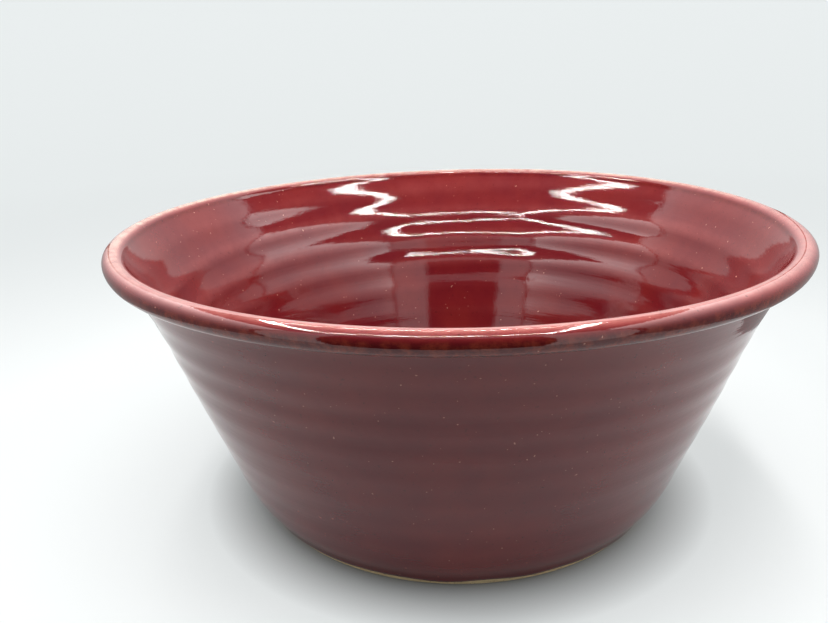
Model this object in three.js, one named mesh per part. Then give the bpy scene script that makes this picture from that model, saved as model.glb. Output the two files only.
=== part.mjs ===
// A wheel-thrown stoneware serving bowl: one fired clay body and the glaze fused over it.
// Millimetres, +Z up. The origin is the middle of the foot's resting face.
import * as THREE from 'three';

// Driving dimensions
const rimRadius = 130;
const height = 110;
const lipWidth = 7.6; // the rolled lip, measured across the rim
const lipRise = 3.1; // from the lip's widest point up to the top of the rim
const lipDrop = 4.4; // and from there down to its underside
const glazeThickness = 0.6;
const fusionGap = 0.3; // clearance that keeps the two solids apart
const glazeLine = 1.8; // height where the glaze stops above the table
const floorHeight = 10; // glazed floor inside the bowl, above the table

// The turned foot
const footRadius = 78.8;
const footRingWidth = 8.2;
const footBevel = 0.6;
const recessDepth = 3;
const recessSlope = 2;

// How finely the curves are divided
const turnSegments = 60;
const outsideSteps = 9;
const lipSteps = 8;
const insideSteps = 15;

const lipCentre = new THREE.Vector2(rimRadius - lipWidth / 2, height - lipRise);
const lipStartAngle = THREE.MathUtils.degToRad(-125);
const lipEndAngle = THREE.MathUtils.degToRad(165);

// A point of the half-section: distance from the axis, height above the table
function at(radius, z) {
  return new THREE.Vector2(radius, z);
}

// The outside wall leaves the foot quickly, rises almost straight and flares under the lip
function outsideWall() {
  const curve = new THREE.SplineCurve([
    at(80.4, glazeLine),
    at(83, 6),
    at(88.2, 14),
    at(94.5, 30),
    at(104, 55),
    at(113.6, 81.5),
    at(120.4, 97),
    lipPoint(lipStartAngle),
  ]);
  return curve.getPoints(outsideSteps);
}

// A point on the oval section of the rolled lip, which hangs lower than it rises
function lipPoint(angle) {
  const reach = Math.sin(angle) > 0 ? lipRise : lipDrop;
  return at(lipCentre.x + (lipWidth / 2) * Math.cos(angle), lipCentre.y + reach * Math.sin(angle));
}

function lip() {
  const points = [];
  for (let step = 1; step <= lipSteps; step += 1) {
    points.push(lipPoint(THREE.MathUtils.lerp(lipStartAngle, lipEndAngle, step / lipSteps)));
  }
  return points;
}

// The inside wall runs down from the lip, thickens a little on the way and turns into the floor
function insideWall() {
  const curve = new THREE.SplineCurve([
    lipPoint(lipEndAngle),
    at(115.6, 97),
    at(108, 84),
    at(101.1, 70),
    at(94.9, 55),
    at(86, 32),
    at(78.5, 19),
    at(65, 12.4),
    at(40, floorHeight + 0.4),
    at(0, floorHeight),
  ]);
  return curve.getPoints(insideSteps).slice(1);
}

// The glazed surface, from the glaze line at the foot, over the lip, to the axis inside
function glazedSurface() {
  return [...outsideWall(), ...lip(), ...insideWall()];
}

// The same line moved into the clay, square to the surface at every point
function sunk(surface, depth) {
  return surface.map((point, index) => {
    const before = surface[Math.max(index - 1, 0)];
    const after = surface[Math.min(index + 1, surface.length - 1)];
    const along = after.clone().sub(before).normalize();
    const moved = point.clone().add(at(-along.y, along.x).multiplyScalar(depth));
    return point.x === 0 ? at(0, point.y - depth) : moved;
  });
}

// The underside of the clay: a flat foot ring round a shallow recess, from the axis outwards
function footSection() {
  const ringInside = footRadius - footRingWidth;
  return [
    at(0, recessDepth),
    at(ringInside - recessSlope, recessDepth),
    at(ringInside, 0),
    at(footRadius, 0),
    at(footRadius + footBevel, footBevel),
  ];
}

// Turns a half-section about the vertical axis into a closed solid
function turned(name, section, material) {
  const geometry = new THREE.LatheGeometry(section, turnSegments);
  geometry.rotateX(Math.PI / 2);
  const mesh = new THREE.Mesh(geometry, material);
  mesh.name = name;
  return mesh;
}

function clayBody() {
  const section = [...footSection(), ...sunk(glazedSurface(), glazeThickness + fusionGap)];
  const bareStoneware = new THREE.MeshStandardMaterial({ color: 0x9a8163, roughness: 0.85, metalness: 0 });
  return turned('clay_body', section, bareStoneware);
}

// A glassy skin over the inside, the lip and the outside, open round the foot
function glazeCoat() {
  const surface = glazedSurface();
  const section = [...sunk(surface, glazeThickness).reverse(), ...surface];
  const oxbloodGlaze = new THREE.MeshStandardMaterial({ color: 0x6b2226, roughness: 0.12, metalness: 0 });
  return turned('glaze_coat', section, oxbloodGlaze);
}

const bowl = new THREE.Group();
bowl.add(clayBody(), glazeCoat());

export default bowl;
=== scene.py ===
"""A wheel-thrown stoneware bowl with an oxblood glaze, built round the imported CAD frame."""
import math

import bpy
import numpy as np
from mathutils import Matrix, Vector


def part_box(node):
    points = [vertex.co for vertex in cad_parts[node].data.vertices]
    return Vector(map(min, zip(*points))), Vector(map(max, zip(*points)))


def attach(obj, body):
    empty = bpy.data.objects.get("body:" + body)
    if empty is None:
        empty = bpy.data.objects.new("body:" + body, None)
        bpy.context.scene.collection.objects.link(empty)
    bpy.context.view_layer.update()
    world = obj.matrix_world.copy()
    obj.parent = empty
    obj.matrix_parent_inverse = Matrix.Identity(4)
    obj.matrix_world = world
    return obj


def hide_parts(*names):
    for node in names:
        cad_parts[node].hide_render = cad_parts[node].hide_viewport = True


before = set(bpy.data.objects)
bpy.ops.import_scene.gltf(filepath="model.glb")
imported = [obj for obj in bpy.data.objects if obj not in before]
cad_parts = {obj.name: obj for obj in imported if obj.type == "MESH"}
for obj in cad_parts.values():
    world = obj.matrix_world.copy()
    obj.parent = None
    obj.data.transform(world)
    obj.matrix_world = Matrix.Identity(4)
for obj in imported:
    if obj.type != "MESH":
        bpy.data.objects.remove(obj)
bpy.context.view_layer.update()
glaze_low, glaze_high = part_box("glaze_coat")

MM = 0.001
RIM_RADIUS = glaze_high.x
HEIGHT = glaze_high.z
GLAZE_LINE = glaze_low.z

# The rolled lip: an oval section, whose lower half is taller than its upper half
LIP_WIDTH = 7.6 * MM
LIP_RISE = 3.1 * MM  # from its widest point up to the top of the rim
LIP_DROP = 4.4 * MM  # and down to its underside
LIP_START = math.radians(-125)  # where the outside wall runs into the oval
LIP_END = math.radians(165)  # and where the inside wall does

# The walls' half-section: radius and height of its guide points, in mm
OUTSIDE_GUIDE = [(80.4, 1.8), (83, 6), (88.2, 14), (94.5, 30), (104, 55), (113.6, 81.5), (120.4, 97)]
INSIDE_GUIDE = [(115.6, 97), (108, 84), (101.1, 70), (94.9, 55), (86, 32), (78.5, 19), (65, 12.4),
                (40, 10.4), (0, 10)]

# Glaze and clay
GLAZE_THICKNESS = 0.6 * MM
CLAY_DEPTH = 0.63 * MM  # how far under the glazed surface the clay starts
GLAZE_ROLL = 0.22 * MM  # how far the glaze swells just above the glaze line
GLAZE_TAPER = 0.5 * MM  # height over which it thins to nothing at that line
GLAZE_RUN = 0.35 * MM  # how far that line wavers up and down
RUN_FADE = 3 * MM  # height over which the wavering dies away
FOOT_RADIUS = 78.8 * MM
FOOT_RING_WIDTH = 8.2 * MM
RECESS_DEPTH = 3 * MM
RECESS_SLOPE = 2 * MM
GROOVE_DEPTH = 0.12 * MM
GROOVE_PITCH = 1.7 * MM

# Throwing rings: the fingers left a shallow spiral inside and outside. A strength is a pair: a height, and
# how far the rings stand out there, in mm
INSIDE_RINGS = [22.5, 34.5, 46.5, 58.0, 70.1, 82.4, 93.8, 105.8, 117.4]  # each crest's upper edge, far side
INSIDE_STRENGTH = [(14, 0.03), (30, 0.05), (52, 0.07), (62, 0.13), (72, 0.20), (86, 0.22), (94, 0.16),
                   (104, 0.06), (110, 0)]
DEEP_SIDE = math.radians(46)  # direction in which the inside rings are deepest
DEEP_SPREAD = 0.4  # and how far round from it they stay deep, in radians
OUTSIDE_PITCH = 10.3 * MM
OUTSIDE_CREST = 81.6 * MM  # height at which a crest passes the front
OUTSIDE_STRENGTH = [(0, 0), (12, 0.03), (20, 0.05), (35, 0.05), (50, 0.04), (62, 0.06), (78, 0.10),
                    (95, 0.06), (104, 0)]

# How finely the surfaces are divided: round the axis, and along the outside wall, the lip and the inside wall
GLAZE_TURN_STEPS = 300
GLAZE_FRONT_STEPS = (84, 34, 122)
GLAZE_BACK_STEPS = (30, 10, 38)
CLAY_TURN_STEPS = 240
CLAY_SECTION_STEPS = (40, 12, 50)
CURVE_SAMPLES = 2000  # points of each curve before it is divided evenly


# ---------------------------------------------------------------- half-section

def spline(points, steps):
    """A uniform Catmull-Rom curve through the points."""
    points = np.array(points, float)
    last = len(points) - 1
    t = np.linspace(0, last, steps)
    i = np.minimum(t.astype(int), last - 1)
    w = (t - i)[:, None]
    p0, p1 = points[np.maximum(i - 1, 0)], points[i]
    p2, p3 = points[i + 1], points[np.minimum(i + 2, last)]
    v0, v1 = (p2 - p0) / 2, (p3 - p1) / 2
    return (2 * p1 - 2 * p2 + v0 + v1) * w**3 + (-3 * p1 + 3 * p2 - 2 * v0 - v1) * w**2 + v0 * w + p1


def lip_point(angle):
    """A point of the lip's oval section: radius and height."""
    half_width = LIP_WIDTH / 2
    half_height = np.where(np.sin(angle) > 0, LIP_RISE, LIP_DROP)
    radius = RIM_RADIUS - half_width + half_width * np.cos(angle)
    height = HEIGHT - LIP_RISE + half_height * np.sin(angle)
    return np.stack([radius, height], -1)


def resampled(curve, steps):
    """The same curve with its points evenly spaced along its length."""
    length = np.concatenate([[0], np.cumsum(np.linalg.norm(np.diff(curve, axis=0), axis=1))])
    at = np.linspace(0, length[-1], steps)
    return np.stack([np.interp(at, length, curve[:, k]) for k in (0, 1)], -1)


def outside_wall(steps):
    guide = [np.array(point) * MM for point in OUTSIDE_GUIDE] + [lip_point(LIP_START)]
    return resampled(spline(guide, CURVE_SAMPLES), steps)


def lip(steps):
    return resampled(lip_point(np.linspace(LIP_START, LIP_END, CURVE_SAMPLES)), steps)


def inside_wall(steps):
    guide = [lip_point(LIP_END)] + [np.array(point) * MM for point in INSIDE_GUIDE]
    return resampled(spline(guide, CURVE_SAMPLES), steps)


# The zones of the glazed surface, in their order along the half-section
OUTSIDE, LIP, INSIDE = 0, 1, 2


def glazed_section(outside_steps, lip_steps, inside_steps):
    """Place, outward normal and zone of each point, from the glaze line over the lip to the axis."""
    parts = [outside_wall(outside_steps), lip(lip_steps)[1:], inside_wall(inside_steps)[1:]]
    points = np.concatenate(parts)
    zone = np.concatenate([np.full(len(part), k) for k, part in enumerate(parts)])
    along = np.gradient(points, axis=0)
    along /= np.linalg.norm(along, axis=1, keepdims=True)
    normal = np.stack([along[:, 1], -along[:, 0]], -1)
    normal[-1] = (0, 1)
    return points, normal, zone


# ---------------------------------------------------------------- hand-made relief

def smoothstep(low, high, x):
    t = np.clip((x - low) / (high - low), 0, 1)
    return t * t * (3 - 2 * t)


def uneven(angle, height, seed, turns, pitches, count=7):
    """A smooth random field round the bowl, mostly within 1.5 of 0: a sum of seeded waves."""
    draw = np.random.RandomState(seed)
    field = np.zeros(np.broadcast(angle, height).shape)
    for _ in range(count):
        around = draw.randint(turns[0], turns[1] + 1)
        pitch = draw.uniform(*pitches)
        phase = draw.uniform(0, 2 * math.pi)
        field = field + np.sin(around * angle + 2 * math.pi * height / pitch + phase)
    return field / math.sqrt(count)


def strength_at(height, table):
    heights, strengths = zip(*table)
    return np.interp(height / MM, heights, strengths) * MM


def inside_rings(angle, height, zone):
    """Throwing rings on the inside wall: strong under the lip, faint lower down."""
    strength = strength_at(height, INSIDE_STRENGTH)
    strength = strength * (1 + 0.22 * uneven(angle, height, 11, (1, 4), (0.05, 0.2)))
    strength = strength * (1 + 0.5 * np.exp(-(((angle - DEEP_SIDE) / DEEP_SPREAD) ** 2)))
    turns = np.interp(height / MM, INSIDE_RINGS, range(len(INSIDE_RINGS)))
    phase = 2 * math.pi * turns + angle - math.pi / 2
    phase = phase + 0.1 * uneven(angle, height, 12, (1, 3), (0.06, 0.3))
    return np.where(zone == INSIDE, -strength * np.sin(phase), 0)


def outside_rings(angle, height, zone):
    """Throwing rings on the outside wall, smoothed by the potter's rib."""
    strength = strength_at(height, OUTSIDE_STRENGTH)
    strength = strength * (1 + 0.3 * uneven(angle, height, 21, (1, 4), (0.05, 0.2)))
    phase = 2 * math.pi * (height - OUTSIDE_CREST) / OUTSIDE_PITCH + angle + math.pi / 2
    phase = phase + 0.5 * uneven(angle, height, 22, (1, 3), (0.03, 0.2))
    return np.where(zone == OUTSIDE, strength * np.cos(phase), 0)


def relief(angle, points, zone):
    """How far the glazed surface stands proud of the plain turned form."""
    height = points[:, 1]
    rings = inside_rings(angle, height, zone) + outside_rings(angle, height, zone)
    fade = smoothstep(0, 8 * MM, points[:, 0]) * smoothstep(0, 6 * MM, height)
    waves = 0.05 * MM * uneven(angle, height, 31, (1, 6), (0.03, 0.12), 12)
    return rings + waves * fade


def wobble(x, y, z, angle):
    """The rim of a thrown bowl is never quite round or level."""
    up = z / HEIGHT
    push = up * MM * (0.45 * np.cos(2 * (angle - 0.6)) + 0.25 * np.cos(3 * (angle + 0.9)))
    lift = up**2 * MM * (0.3 * np.sin(2 * angle + 0.4) + 0.18 * np.sin(3 * angle - 1.0))
    return x + push * np.cos(angle), y + push * np.sin(angle), z + lift


# ---------------------------------------------------------------- meshes

def turn_angles(turn_steps):
    return np.linspace(0, 2 * math.pi, turn_steps, endpoint=False)[:, None]


def turned_grid(points, normal, offset, turn_steps):
    """Points round the axis: the half-section moved along its normal by offset, which may vary with angle."""
    angle = turn_angles(turn_steps)
    radius = np.maximum(points[:, 0] + normal[:, 0] * offset, 0)
    height = points[:, 1] + normal[:, 1] * offset
    radius, height = np.broadcast_arrays(radius, height)
    x, y, z = wobble(radius * np.cos(angle), radius * np.sin(angle), height, angle)
    return np.stack([x, y, z], -1)


def closed_turning(name, grid, painted):
    """A closed mesh from a grid of turned points, with its first and last columns each drawn into one point.

    painted holds values for the material at each point of the grid, by name."""
    turns, steps = grid.shape[:2]
    body = grid[:, 1:-1].reshape(-1, 3)
    start, end = grid[:, 0].mean(axis=0), grid[:, -1].mean(axis=0)
    verts = np.concatenate([body, [start, end]])
    inner = steps - 2
    row = np.arange(turns)[:, None] * inner
    following = np.roll(row, -1, axis=0)
    col = np.arange(inner - 1)[None, :]
    quads = np.stack([row + col, following + col, following + col + 1, row + col + 1], -1).reshape(-1, 4)
    first, last = len(body), len(body) + 1
    fans = []
    for k in range(turns):
        here, after = k * inner, ((k + 1) % turns) * inner
        fans.append((first, after, here))
        fans.append((last, here + inner - 1, after + inner - 1))
    mesh = bpy.data.meshes.new(name)
    mesh.from_pydata(verts.tolist(), [], quads.tolist() + fans)
    for title, field in painted.items():
        values = np.concatenate([field[:, 1:-1].ravel(), [field[:, 0].mean(), field[:, -1].mean()]])
        mesh.attributes.new(title, "FLOAT", "POINT").data.foreach_set("value", values.astype(np.float32))
    mesh.shade_smooth()
    piece = bpy.data.objects.new(name, mesh)
    bpy.context.scene.collection.objects.link(piece)
    return piece


def thin_and_painted_light_places(height, zone, proud):
    """Where molten glaze ran thin, from 0 to 1: the crest of the lip, and the crests of the rings; and
    painted light that pales the inside wall towards the top.
    """
    lip_top = 0.6 * np.exp(-(((height - HEIGHT) / (1.1 * MM)) ** 2)) * (zone == LIP)
    inside_crests = 0.2 * np.clip(proud / (0.3 * MM), 0, 1) * (zone == INSIDE)
    outside_crests = 0.07 * smoothstep(-0.08 * MM, 0.1 * MM, proud) * (zone == OUTSIDE)
    # Painted light: the inside wall is paler towards the top, where more light falls on it.
    upper = 0.08 * smoothstep(55 * MM, 112 * MM, height) * (zone == INSIDE)
    return np.clip(lip_top + inside_crests + outside_crests + upper, 0, 1)


def worn_crest(angle, height, zone):
    """The very top of the rim, where the glaze broke to a pale line, most of all along one half of it."""
    crest = np.exp(-(((height - HEIGHT) / (0.45 * MM)) ** 2)) * (zone == LIP)
    return crest * (0.15 + 0.7 * smoothstep(-0.5, 0.6, np.sin(angle - 0.4)))


def lip_face_painted_shade_and_mottle(height, zone):
    """The lip's outer face: painted shade darkens it, and the glaze there is mottled with orange brown."""
    return (1 - smoothstep(HEIGHT - 3.6 * MM, HEIGHT - 1.2 * MM, height)) * (zone == LIP)


def glaze_end(points, zone):
    """How the glaze ends above the foot: it swells into a soft roll, then thins to nothing."""
    above = points[:, 1] - GLAZE_LINE
    roll = GLAZE_ROLL * np.exp(-(((above - 1.4 * MM) / (1.3 * MM)) ** 2))
    taper = GLAZE_THICKNESS * np.clip(1 - above / GLAZE_TAPER, 0, 1) ** 2
    return np.where(zone == OUTSIDE, roll - taper, 0)


def waver(grid, angle, points, zone):
    """Move the glaze line up and down a little round the foot, fading out above it."""
    run = GLAZE_RUN * uneven(angle, 0, 41, (2, 23), (1, 2), 12)
    above = points[:, 1] - GLAZE_LINE
    grid[..., 2] += run * np.where(zone == OUTSIDE, np.exp(-above / RUN_FADE), 0)


def glaze_front(angle):
    """The glaze's visible surface, and what the material shows at each of its points."""
    points, normal, zone = glazed_section(*GLAZE_FRONT_STEPS)
    proud = relief(angle, points, zone)
    front = turned_grid(points, normal, proud + glaze_end(points, zone), GLAZE_TURN_STEPS)
    waver(front, angle, points, zone)
    height = points[:, 1]
    fields = {"thin_glaze_and_painted_light": thin_and_painted_light_places(height, zone, proud),
              "worn_crest": worn_crest(angle, height, zone),
              "lip_face_painted_shade_and_mottle": lip_face_painted_shade_and_mottle(height, zone)}
    return front, fields


def glaze_back(angle):
    """The side of the glaze that lies on the clay, in coarser steps."""
    points, normal, zone = glazed_section(*GLAZE_BACK_STEPS)
    proud = relief(angle, points, zone)
    back = turned_grid(points, normal, proud - GLAZE_THICKNESS, GLAZE_TURN_STEPS)
    waver(back, angle, points, zone)
    return back


def make_glaze():
    angle = turn_angles(GLAZE_TURN_STEPS)
    front, fields = glaze_front(angle)
    back = glaze_back(angle)
    grid = np.concatenate([back[:, ::-1], front[:, 1:]], axis=1)
    unseen = np.zeros(back.shape[:2])
    painted = {}
    for title, field in fields.items():
        field = np.broadcast_to(field, front.shape[:2])
        painted[title] = np.concatenate([unseen, field[:, 1:]], axis=1)
    piece = closed_turning("glaze_skin", grid, painted)
    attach(piece, "root")
    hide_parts("glaze_coat")
    return piece


def foot_section():
    """The underside from the axis to just below the glaze line, with the turning tool's grooves."""
    inside = FOOT_RADIUS - FOOT_RING_WIDTH
    recess_steps, corner_steps, flat_steps, edge_steps = 70, 14, 12, 8
    recess_radius = np.linspace(0, inside - RECESS_SLOPE, recess_steps)
    groove = GROOVE_DEPTH * np.sin(math.pi * recess_radius / GROOVE_PITCH) ** 2
    groove = groove * smoothstep(3 * MM, 12 * MM, recess_radius)
    recess = np.stack([recess_radius, RECESS_DEPTH - groove], -1)
    corner = spline([recess[-1], (inside - 0.7 * MM, RECESS_DEPTH * 0.55), (inside + 0.2 * MM, 0.35 * MM),
                     (inside + 1.0 * MM, 0)], corner_steps)
    flat_radius = np.linspace(inside + 1.0 * MM, FOOT_RADIUS - 0.6 * MM, flat_steps)
    flat = np.stack([flat_radius, np.zeros(flat_steps)], -1)
    edge = spline([flat[-1], (FOOT_RADIUS + 0.1 * MM, 0.12 * MM), (FOOT_RADIUS + 0.5 * MM, 0.55 * MM),
                   (FOOT_RADIUS + 0.72 * MM, 1.1 * MM)], edge_steps)
    return np.concatenate([recess, corner[1:], flat[1:], edge[1:]])


def make_clay():
    angle = turn_angles(CLAY_TURN_STEPS)
    foot = foot_section()
    foot_grid = turned_grid(foot, np.zeros_like(foot), 0, CLAY_TURN_STEPS)
    points, normal, zone = glazed_section(*CLAY_SECTION_STEPS)
    proud = relief(angle, points, zone)
    under = turned_grid(points, normal, proud - CLAY_DEPTH, CLAY_TURN_STEPS)
    grid = np.concatenate([foot_grid, under], axis=1)
    piece = closed_turning("stoneware_body", grid, {})
    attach(piece, "root")
    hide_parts("clay_body")
    return piece


# ---------------------------------------------------------------- materials

class Nodes:
    """Short names for making shader nodes."""

    def __init__(self, name):
        self.material = bpy.data.materials.new(name)
        self.material.use_nodes = True
        self.tree = self.material.node_tree
        self.shader = self.tree.nodes["Principled BSDF"]

    def add(self, kind, inputs=None, **settings):
        node = self.tree.nodes.new(kind)
        for key, value in settings.items():
            setattr(node, key, value)
        for key, value in (inputs or {}).items():
            self.set(node.inputs[key], value)
        return node

    def set(self, socket, value):
        if isinstance(value, bpy.types.NodeSocket):
            self.tree.links.new(value, socket)
        else:
            socket.default_value = value

    def noise(self, scale, detail=3.0, roughness=0.5, squeeze=(1, 1, 1)):
        """Noise in object coordinates: scale features in a metre, and squeeze times as many on an axis."""
        place = self.add("ShaderNodeTexCoord").outputs["Object"]
        mapped = self.add("ShaderNodeMapping", {"Vector": place, "Scale": squeeze}).outputs["Vector"]
        made = self.add("ShaderNodeTexNoise", {"Vector": mapped, "Scale": scale, "Detail": detail,
                                               "Roughness": roughness})
        return made.outputs["Fac"]

    def ramp(self, value, low, high, to_low=0.0, to_high=1.0):
        node = self.add("ShaderNodeMapRange", {"Value": value, "From Min": low, "From Max": high,
                                               "To Min": to_low, "To Max": to_high})
        return node.outputs["Result"]

    def attribute(self, title):
        return self.add("ShaderNodeAttribute", attribute_name=title).outputs["Fac"]

    def math(self, operation, a, b):
        return self.add("ShaderNodeMath", {0: a, 1: b}, operation=operation).outputs[0]

    def times(self, a, b):
        return self.math("MULTIPLY", a, b)

    def plus(self, a, b):
        return self.math("ADD", a, b)

    def mix(self, factor, a, b):
        node = self.add("ShaderNodeMix", data_type="RGBA")
        self.set(node.inputs["Factor"], factor)
        self.set(node.inputs["A"], a)
        self.set(node.inputs["B"], b)
        return node.outputs["Result"]

    def bump(self, height, strength, depth):
        """Roughen the surface by height, whose range of 0 to 1 stands for depth in metres."""
        node = self.add("ShaderNodeBump", {"Height": height, "Strength": strength, "Distance": depth})
        self.set(self.shader.inputs["Normal"], node.outputs["Normal"])


def with_thin_glaze_and_painted_light(n, colour):
    """Paler where the glaze ran thin, and paler with painted light towards the top of the inside wall."""
    thin = (0.26, 0.066, 0.061, 1)
    patches = n.ramp(n.noise(160, 3, 0.6), 0.25, 0.65, 0.55, 1.0)
    return n.mix(n.times(n.attribute("thin_glaze_and_painted_light"), patches), colour, thin)


def with_lip_painted_shade_and_mottle(n, colour):
    """Painted shade darkens the lip's outer face, and orange brown mottling is laid over it."""
    # The painted shade on the lip's outer face, which turns down away from the light above.
    shade = (0.030, 0.003, 0.003, 1)
    orange_brown = (0.17, 0.028, 0.014, 1)
    face = n.attribute("lip_face_painted_shade_and_mottle")
    mottle = n.times(face, n.ramp(n.noise(330, 4, 0.65), 0.42, 0.62))
    colour = n.mix(n.times(face, 0.5), colour, shade)
    return n.mix(n.times(mottle, 0.5), colour, orange_brown)


def with_worn_crest(n, colour):
    """Palest along the top of the lip, where the glaze broke."""
    worn = (0.36, 0.26, 0.21, 1)
    patches = n.ramp(n.noise(240, 3, 0.6), 0.3, 0.6, 0.35, 1.0)
    return n.mix(n.times(n.attribute("worn_crest"), patches), colour, worn)


def with_specks(n, colour, speck, scale, detail, low, high, amount):
    """Small specks at the tops of a fine noise: they start at low and are full at high."""
    tops = n.ramp(n.noise(scale, detail, 0.5), low, high)
    return n.mix(n.times(tops, amount), colour, speck)


def glaze_material():
    n = Nodes("oxblood_glaze")
    deep = (0.070, 0.0040, 0.0062, 1)
    warm = (0.092, 0.0070, 0.0070, 1)
    dark = (0.03, 0.004, 0.004, 1)
    pale = (0.42, 0.20, 0.15, 1)
    colour = n.mix(n.ramp(n.noise(38, 4, 0.55), 0.38, 0.68), deep, warm)
    colour = with_thin_glaze_and_painted_light(n, colour)
    colour = with_lip_painted_shade_and_mottle(n, colour)
    colour = with_worn_crest(n, colour)
    colour = with_specks(n, colour, dark, scale=900, detail=1, low=0.70, high=0.76, amount=0.5)
    colour = with_specks(n, colour, pale, scale=1000, detail=0, low=0.84, high=0.87, amount=0.5)
    n.set(n.shader.inputs["Base Color"], colour)
    n.set(n.shader.inputs["Roughness"], n.ramp(n.noise(2400, 1, 0.5), 0.42, 0.58, 0.02, 0.06))
    n.shader.inputs["IOR"].default_value = 1.42
    peel = n.times(n.noise(260, 2, 0.5), 0.35)
    level_streaks = n.times(n.noise(30, 3, 0.5, (1, 1, 22)), 0.65)
    fine_grain = n.times(n.noise(1300, 1, 0.5), 0.25)
    n.bump(n.plus(n.plus(peel, level_streaks), fine_grain), 0.15, 0.4 * MM)
    return n.material


def clay_material():
    n = Nodes("bare_stoneware")
    # Both clay colours are painted paler than the clay itself: painted light that lifts the shade the clay
    # lies in under the glaze roll.
    light = (0.80, 0.62, 0.35, 1)
    tan = (0.64, 0.47, 0.25, 1)
    dark = (0.06, 0.04, 0.03, 1)
    colour = n.mix(n.ramp(n.noise(120, 5, 0.6), 0.35, 0.7), light, tan)
    colour = with_specks(n, colour, dark, scale=1500, detail=1, low=0.66, high=0.72, amount=0.8)
    n.set(n.shader.inputs["Base Color"], colour)
    n.set(n.shader.inputs["Roughness"], n.ramp(n.noise(300, 2), 0.3, 0.7, 0.75, 0.9))
    n.bump(n.noise(1400, 4, 0.65), 0.6, 0.3 * MM)
    return n.material


# ---------------------------------------------------------------- studio

def emission_material(name, colour, low, high=None, top=1.0, power=1.0):
    """A plain glow, or one that grows with height from low at the floor to high at the height top."""
    n = Nodes(name)
    glow = n.add("ShaderNodeEmission", {"Color": (*colour, 1), "Strength": low})
    if high is not None:
        place = n.add("ShaderNodeTexCoord").outputs["Object"]
        height = n.add("ShaderNodeSeparateXYZ", {"Vector": place}).outputs["Z"]
        rise = n.math("POWER", n.ramp(height, 0, top), power)
        n.set(glow.inputs["Strength"], n.ramp(rise, 0, 1, low, high))
    out = n.tree.nodes["Material Output"]
    n.tree.links.new(glow.outputs["Emission"], out.inputs["Surface"])
    n.tree.nodes.remove(n.shader)
    return n.material


def stage_mesh(name, verts, faces, material):
    mesh = bpy.data.meshes.new(name)
    mesh.from_pydata(verts, [], faces)
    mesh.materials.append(material)
    made = bpy.data.objects.new(name, mesh)
    bpy.context.scene.collection.objects.link(made)
    return made


def card(name, corners, material):
    """A flat sheet between four corners."""
    return stage_mesh(name, corners, [(0, 1, 2, 3)], material)


def only_in_reflections(thing):
    thing.visible_camera = False
    thing.visible_diffuse = False
    thing.visible_shadow = False
    thing.visible_transmission = False
    thing.visible_volume_scatter = False


def upright(name, start, end, low, high, material):
    """An upright sheet between two points of the floor plan."""
    only_in_reflections(card(name, [(*start, low), (*end, low), (*end, high), (*start, high)], material))


def sheet_material():
    """A grey sheet that looks white: it glows as painted light, from the foot outwards and a little more with
    distance, so a painted contact shadow rings the foot.
    """
    n = Nodes("white_sheet")
    n.shader.inputs["Base Color"].default_value = (0.22, 0.22, 0.218, 1)
    n.shader.inputs["Roughness"].default_value = 0.9
    n.shader.inputs["Specular IOR Level"].default_value = 0.1
    n.shader.inputs["Emission Color"].default_value = (0.955, 1.0, 1.005, 1)
    place = n.add("ShaderNodeTexCoord").outputs["Object"]
    distance = n.add("ShaderNodeVectorMath", {0: place}, operation="LENGTH").outputs["Value"]
    start, near_end, middle_end, far_end = 0.079, 0.105, 0.5, 1.3
    # Painted contact shadow: the glow is faint at the foot's edge and full a little way out.
    glow_with_painted_contact_shadow = n.ramp(distance, start, near_end, 0.035, 0.55)
    middle = n.ramp(distance, near_end, middle_end, 0, 0.07)
    far = n.ramp(distance, middle_end, far_end, 0, 0.10)
    n.set(n.shader.inputs["Emission Strength"], n.plus(n.plus(glow_with_painted_contact_shadow, middle), far))
    return n.material


def make_floor():
    """A round white sheet that sweeps up all round, well outside every view's camera."""
    flat, bend, top = 0.9, 0.45, 1.6  # radius of the level part, radius of the bend, and height
    bend_steps, turns = 18, 128
    sweep = [(flat * 0.5, 0), (flat, 0)]
    for k in range(1, bend_steps + 1):
        lean = math.radians(90 * k / bend_steps)
        sweep.append((flat + bend * math.sin(lean), bend - bend * math.cos(lean)))
    sweep.append((flat + bend, top))
    verts = []
    for k in range(turns):
        turn = 2 * math.pi * k / turns
        verts += [(radius * math.cos(turn), radius * math.sin(turn), z) for radius, z in sweep]
    middle = len(verts)
    verts.append((0, 0, 0))
    steps = len(sweep)
    faces = []
    for k in range(turns):
        here, after = k * steps, (k + 1) % turns * steps
        faces.append((middle, here, after))
        for j in range(steps - 1):
            faces.append((here + j, here + j + 1, after + j + 1, after + j))
    stage_mesh("floor_sheet", verts, faces, sheet_material()).data.shade_smooth()


# The light tent that the glaze mirrors, in metres: its plan, its heights, its front opening and its lamps
TENT_LEFT, TENT_RIGHT, TENT_FRONT, TENT_BACK = -0.238, 0.197, -0.23, 0.16
WALL_TOP, CEILING = 0.315, 0.385
GAP_LEFT, GAP_RIGHT, GAP_TOP = -0.121, 0.081, 0.25
LAMP_LEFT, LAMP_RIGHT, LAMP_FRONT, LAMP_BACK, LAMP_HEIGHT = -0.178, 0.122, -0.19, 0.11, 0.37


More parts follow.
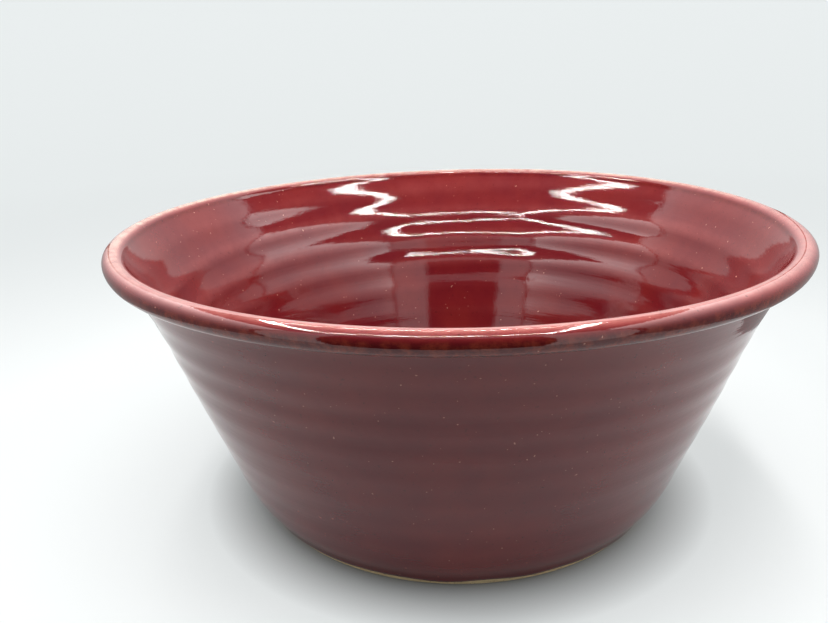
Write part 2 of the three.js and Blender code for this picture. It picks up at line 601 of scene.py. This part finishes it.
def make_tent():
    """Cloth walls, brightest at the top, round a dark front opening, with dark seams in the corners."""
    white = (1, 1, 1)
    side = emission_material("tent_side", white, 0.38, 6.5, WALL_TOP, 2.8)
    back = emission_material("tent_back", white, 0.4, 3.4, WALL_TOP, 2.0)
    flap = emission_material("tent_flap", white, 1.9)
    valance = emission_material("tent_valance", white, 1.1)
    dark = emission_material("tent_dark", white, 0.02)
    ceiling = emission_material("tent_ceiling", white, 0.1)
    front_left, front_right = (TENT_LEFT, TENT_FRONT), (TENT_RIGHT, TENT_FRONT)
    back_left, back_right = (TENT_LEFT, TENT_BACK), (TENT_RIGHT, TENT_BACK)
    gap_left, gap_right = (GAP_LEFT, TENT_FRONT), (GAP_RIGHT, TENT_FRONT)
    upright("tent_left", front_left, back_left, 0, WALL_TOP, side)
    upright("tent_right", front_right, back_right, 0, WALL_TOP, side)
    upright("tent_back", back_left, back_right, 0, WALL_TOP, back)
    upright("flap_left", front_left, gap_left, 0, WALL_TOP, flap)
    upright("flap_right", gap_right, front_right, 0, WALL_TOP, flap)
    upright("flap_top", gap_left, gap_right, GAP_TOP, WALL_TOP, valance)
    upright("opening", gap_left, gap_right, 0, GAP_TOP, dark)
    for name, start, end in (("left", front_left, back_left), ("right", front_right, back_right),
                             ("back", back_left, back_right), ("front", front_left, front_right)):
        upright("ceiling_" + name, start, end, WALL_TOP, CEILING, ceiling)
    corners = (front_left, front_right, back_right, back_left)
    ceiling_corners = [(x, y, CEILING) for x, y in corners]
    only_in_reflections(card("ceiling", ceiling_corners, ceiling))
    seam = 0.006
    for k, (x, y) in enumerate(corners):
        in_x, in_y = -math.copysign(seam, x), -math.copysign(seam, y)
        upright(f"seam_{k}", (x + in_x, y), (x, y + in_y), 0, WALL_TOP, dark)


def make_flag():
    """A black card in front that keeps the pale sheet from lighting the side of the bowl that faces it."""
    n = Nodes("black_card")
    n.shader.inputs["Base Color"].default_value = (0.01, 0.01, 0.01, 1)
    n.shader.inputs["Roughness"].default_value = 1.0
    half, front, low, high = 0.75, -0.68, 0.04, 0.8
    corners = [(-half, front, low), (half, front, low), (half, front, high), (-half, front, high)]
    flag = card("black_card", corners, n.material)
    flag.visible_camera = False
    flag.visible_glossy = False
    flag.visible_shadow = False


def lamp_spots():
    """Places of the diodes, in two rows along each of the four strips under the ceiling."""
    spacing, row_gap = 0.0085, 0.01
    across = int((LAMP_RIGHT - LAMP_LEFT) / spacing) + 1
    along = int((LAMP_BACK - LAMP_FRONT) / spacing)
    spots = []
    for row in (-row_gap / 2, row_gap / 2):
        for k in range(across):
            x = LAMP_LEFT + k * spacing
            spots += [(x, LAMP_FRONT + row), (x, LAMP_BACK + row)]
        for k in range(1, along):
            y = LAMP_FRONT + k * spacing
            spots += [(LAMP_LEFT + row, y), (LAMP_RIGHT + row, y)]
    return spots


def make_diodes():
    """The strips' small bright diodes, seen only in reflections."""
    half = 1.5 * MM
    strength = 420
    verts, faces = [], []
    for x, y in lamp_spots():
        first = len(verts)
        verts += [(x - half, y - half, LAMP_HEIGHT), (x + half, y - half, LAMP_HEIGHT),
                  (x + half, y + half, LAMP_HEIGHT), (x - half, y + half, LAMP_HEIGHT)]
        faces.append((first, first + 3, first + 2, first + 1))
    glow = emission_material("diode", (1, 0.99, 0.96), strength)
    only_in_reflections(stage_mesh("diodes", verts, faces, glow))


def area_light(name, place, aim, size, power):
    """A soft lamp that lights surfaces but isn't mirrored in the glaze."""
    light = bpy.data.lights.new(name, "AREA")
    light.shape = "RECTANGLE"
    light.size, light.size_y = size
    light.energy = power
    made = bpy.data.objects.new(name, light)
    made.location = place
    made.rotation_euler = (Vector(aim) - Vector(place)).to_track_quat("-Z", "Y").to_euler()
    made.visible_camera = False
    made.visible_glossy = False
    bpy.context.scene.collection.objects.link(made)


def make_lights():
    """A soft lamp along each strip of diodes, and one at each side wall, with powers in watts."""
    length, width = 0.30, 0.03
    middle_x, middle_y = (LAMP_LEFT + LAMP_RIGHT) / 2, (LAMP_FRONT + LAMP_BACK) / 2
    for name, x, y, size, power in (("front", middle_x, LAMP_FRONT, (length, width), 1.15),
                                    ("back", middle_x, LAMP_BACK, (length, width), 1.15),
                                    ("left", LAMP_LEFT, middle_y, (width, length), 1.1),
                                    ("right", LAMP_RIGHT, middle_y, (width, length), 1.45)):
        area_light("strip_" + name, (x, y, LAMP_HEIGHT), (x, y, 0), size, power)
    low = 0.08
    wall_size = (TENT_BACK - TENT_FRONT, WALL_TOP - low)
    for name, x, power in (("left", TENT_LEFT, 0.3), ("right", TENT_RIGHT, 0.5)):
        place = (x, (TENT_FRONT + TENT_BACK) / 2, (WALL_TOP + low) / 2)
        area_light("wall_" + name, place, (0, place[1], place[2]), wall_size, power)


def make_world():
    """A faint cool light from all round."""
    world = bpy.data.worlds.new("studio")
    world.use_nodes = True
    background = world.node_tree.nodes["Background"]
    background.inputs["Color"].default_value = (0.94, 0.98, 1.0, 1)
    background.inputs["Strength"].default_value = 0.12
    bpy.context.scene.world = world


def make_camera():
    """The photograph's view: from in front, looking down at the bowl, turned a little to the left."""
    data = bpy.data.cameras.new("camera")
    data.sensor_width = 36
    data.lens = 35.9
    camera = bpy.data.objects.new("camera", data)
    place = (0, -2.447 * RIM_RADIUS, 1.380 * RIM_RADIUS)
    left, down, roll = math.radians(2.96), math.radians(18.57), math.radians(-1.58)
    turn = Matrix.Rotation(left, 4, "Z") @ Matrix.Rotation(math.pi / 2 - down, 4, "X")
    turn = turn @ Matrix.Rotation(roll, 4, "Z")
    camera.matrix_world = Matrix.Translation(place) @ turn
    bpy.context.scene.collection.objects.link(camera)
    bpy.context.scene.camera = camera


bpy.context.scene.view_settings.view_transform = "Standard"
make_camera()
make_floor()
make_tent()
make_flag()
make_diodes()
make_lights()
make_world()
glaze = make_glaze()
glaze.data.materials.append(glaze_material())
clay = make_clay()
clay.data.materials.append(clay_material())
